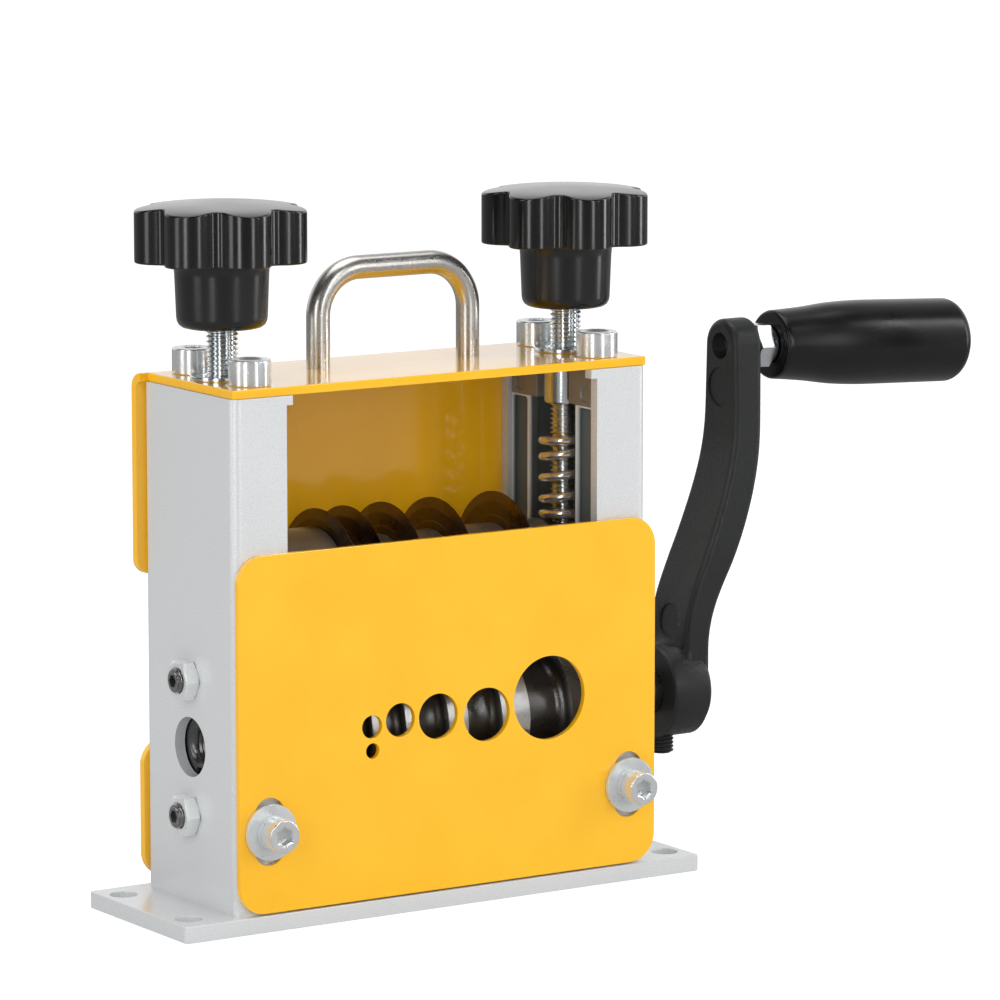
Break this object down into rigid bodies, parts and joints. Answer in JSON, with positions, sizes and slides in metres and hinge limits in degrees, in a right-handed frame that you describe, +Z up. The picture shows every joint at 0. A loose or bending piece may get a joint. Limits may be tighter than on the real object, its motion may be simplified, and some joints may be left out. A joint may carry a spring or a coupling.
{
  "type": "hand crank wire stripper",
  "caption": "Bench-mounted wire stripping machine: a crank turns a grooved feed roller under round blades, set by star knobs, between two uprights.",
  "frame": {"origin": "centre of the base plate's underside, in the middle of the four bench holes", "axes": "+Z up, +X along the rollers towards the crank, +Y from the wire holes towards the rear outlet"},
  "size_m": [0.3099, 0.0711, 0.2198],
  "materials": {
    "silver_paint": "satin silver with a fine sparkle",
    "yellow_paint": "gloss powder coat",
    "zinc_steel": "bright zinc",
    "stainless": "brushed",
    "bare_steel": "turned and ground",
    "bronze": "plain",
    "spring_chrome": "polished",
    "blade_steel": "ground",
    "black_oxide": "black oxide",
    "black_gloss_plastic": "gloss",
    "black_cast": "satin black over a casting",
    "black_grip_plastic": "semi-gloss"
  },
  "bodies": {
    "frame": {"base_plate": "silver_paint", "base_screws": "zinc_steel", "left_column": "silver_paint", "right_column": "silver_paint", "left_top_block": "bare_steel", "right_top_block": "bare_steel", "left_slide_rails": "bare_steel", "right_slide_rails": "bare_steel", "left_bearing_housing": "bare_steel", "right_bearing_housing": "bare_steel", "left_drive_bearing": "bare_steel", "right_drive_bearing": "bare_steel", "top_cover": "yellow_paint", "top_cover_screws": "zinc_steel", "left_threaded_bush": "zinc_steel", "right_threaded_bush": "zinc_steel", "carry_handle": "stainless", "handle_screws": "zinc_steel", "rear_lower_guard": "yellow_paint", "rear_guard_screws": "zinc_steel", "guide_plate_screws": "zinc_steel", "guide_plate_washers": "zinc_steel", "guide_plate_spring_washers": "zinc_steel", "bearing_set_screws": "zinc_steel", "bearing_lock_nuts": "zinc_steel"},
    "guide_plate": {"front_guide_plate": "yellow_paint"},
    "carriage": {"left_slider": "bare_steel", "right_slider": "bare_steel", "left_blade_bush": "bronze", "right_blade_bush": "bronze", "left_spring": "spring_chrome", "right_spring": "spring_chrome"},
    "left_knob_and_rod": {"left_knob": "black_gloss_plastic", "left_adjusting_rod": "zinc_steel"},
    "right_knob_and_rod": {"right_knob": "black_gloss_plastic", "right_adjusting_rod": "zinc_steel"},
    "blade_spindle": {"blade_shaft": "bare_steel", "blade_1": "blade_steel", "blade_2": "blade_steel", "blade_3": "blade_steel", "blade_4": "blade_steel", "blade_5": "blade_steel", "blade_spacers": "bare_steel", "left_blade_collar": "bare_steel", "right_blade_collar": "bare_steel"},
    "crank": {"crank_arm": "black_cast", "crank_clamp_screw": "black_oxide", "feed_shaft": "bare_steel", "feed_roller": "bare_steel", "feed_key": "bare_steel", "shaft_circlips": "bare_steel", "grip_spindle": "bare_steel", "grip_lock_nut": "zinc_steel"},
    "grip": {"crank_grip": "black_grip_plastic"}
  },
  "joints": [
    {"name": "crank_turn", "type": "hinge", "parent": "frame", "child": "crank", "pos_m": [0, 0, 0.0535], "axis": [1, 0, 0], "continuous": true},
    {"name": "grip_spin", "type": "hinge", "parent": "crank", "child": "grip", "pos_m": [0.1222, 0, 0.1632], "axis": [0.999, 0, -0.0454], "continuous": true},
    {"name": "carriage_slide", "type": "slide", "parent": "frame", "child": "carriage", "axis": [0, 0, 1], "range_m": [-0.0022, 0.0084]},
    {"name": "left_knob_turn", "type": "hinge", "parent": "carriage", "child": "left_knob_and_rod", "pos_m": [-0.0626, 0, 0.15], "axis": [0, 0, 1], "range_deg": [-528.2, 2016.2]},
    {"name": "right_knob_turn", "type": "hinge", "parent": "carriage", "child": "right_knob_and_rod", "pos_m": [0.0626, 0, 0.15], "axis": [0, 0, 1], "range_deg": [-528.2, 2016.2]},
    {"name": "blade_spin", "type": "hinge", "parent": "carriage", "child": "blade_spindle", "pos_m": [0, 0, 0.0981], "axis": [1, 0, 0], "continuous": true},
    {"name": "guide_plate_slide", "type": "slide", "parent": "frame", "child": "guide_plate", "axis": [0, 0, 1], "range_m": [0, 0.0072]}
  ],
  "couplings": [
    {"joint": "left_knob_turn", "follows": "carriage_slide", "rad_per_m": 4188.8},
    {"joint": "right_knob_turn", "follows": "carriage_slide", "rad_per_m": 4188.8}
  ]
}
